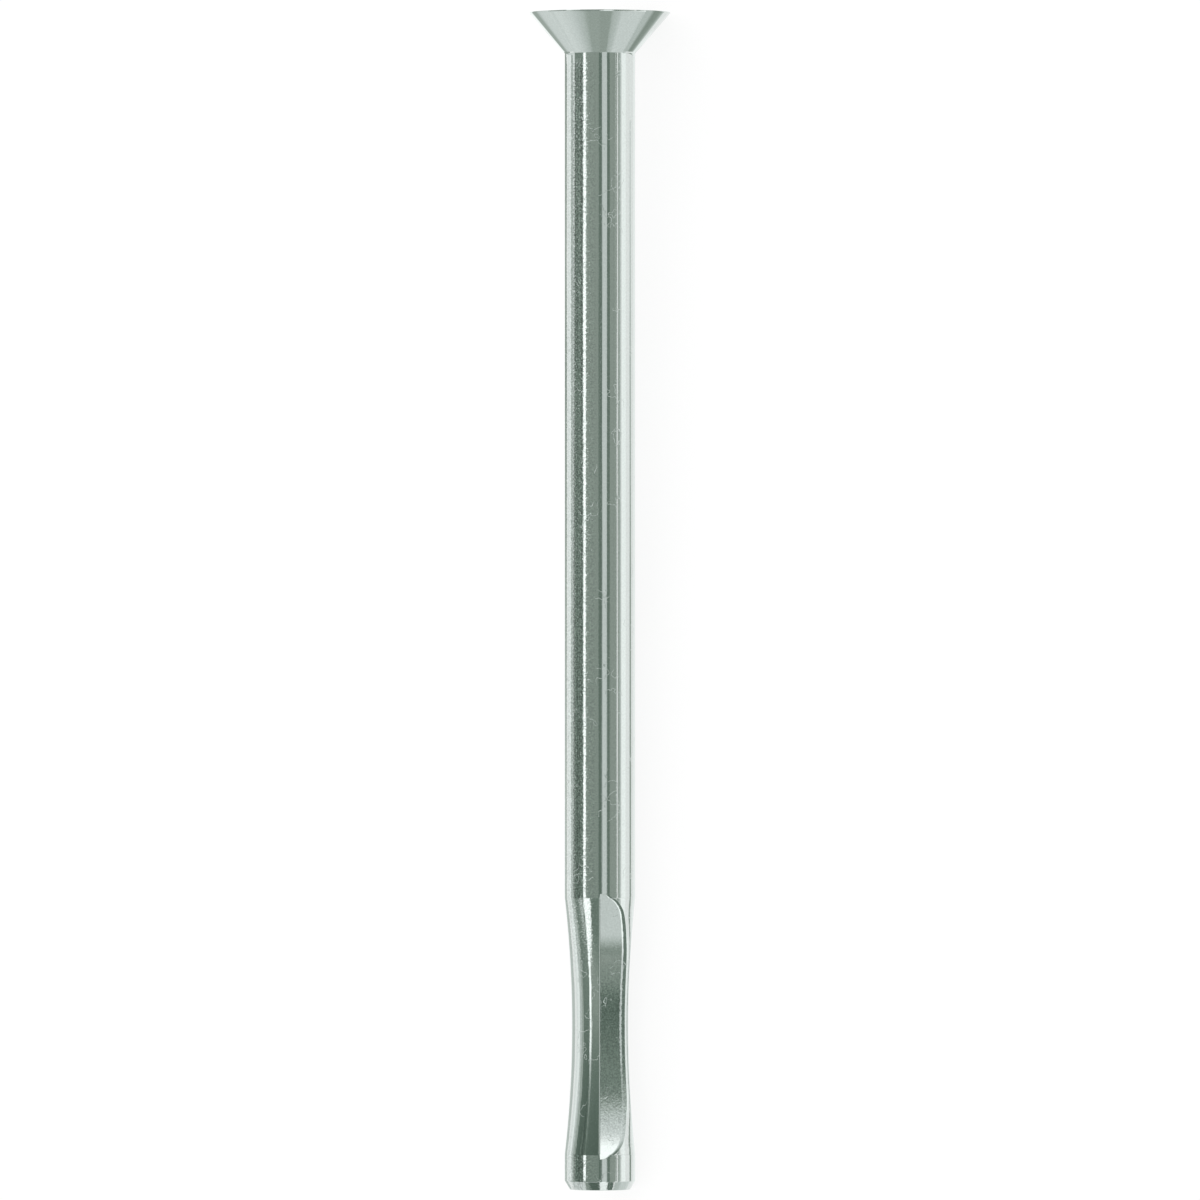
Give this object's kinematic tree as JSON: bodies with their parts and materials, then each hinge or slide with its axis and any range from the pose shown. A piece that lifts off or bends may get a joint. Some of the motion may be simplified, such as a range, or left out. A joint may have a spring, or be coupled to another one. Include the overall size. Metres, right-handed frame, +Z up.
{
  "type": "split drive anchor",
  "caption": "Slim round pin with a countersunk flat head and a split, bowed end that grips a drilled hole when driven in.",
  "frame": {"origin": "Centre of the bounding box in X and Y, on the surface that the pin lies on at z = 0.", "axes": "+Y along the pin towards its head, +Z up. The pin lies on its head and its tip, so its axis climbs 1.72 degrees towards the head, and it is rolled 38 degrees so that neither bow touches the surface."},
  "size_m": [0.0122, 0.1018, 0.0121],
  "materials": {
    "zinc_plated_steel": "bright zinc plating, drawn along the shank"
  },
  "bodies": {
    "root": {"anchor_pin": "zinc_plated_steel"}
  },
  "joints": []
}
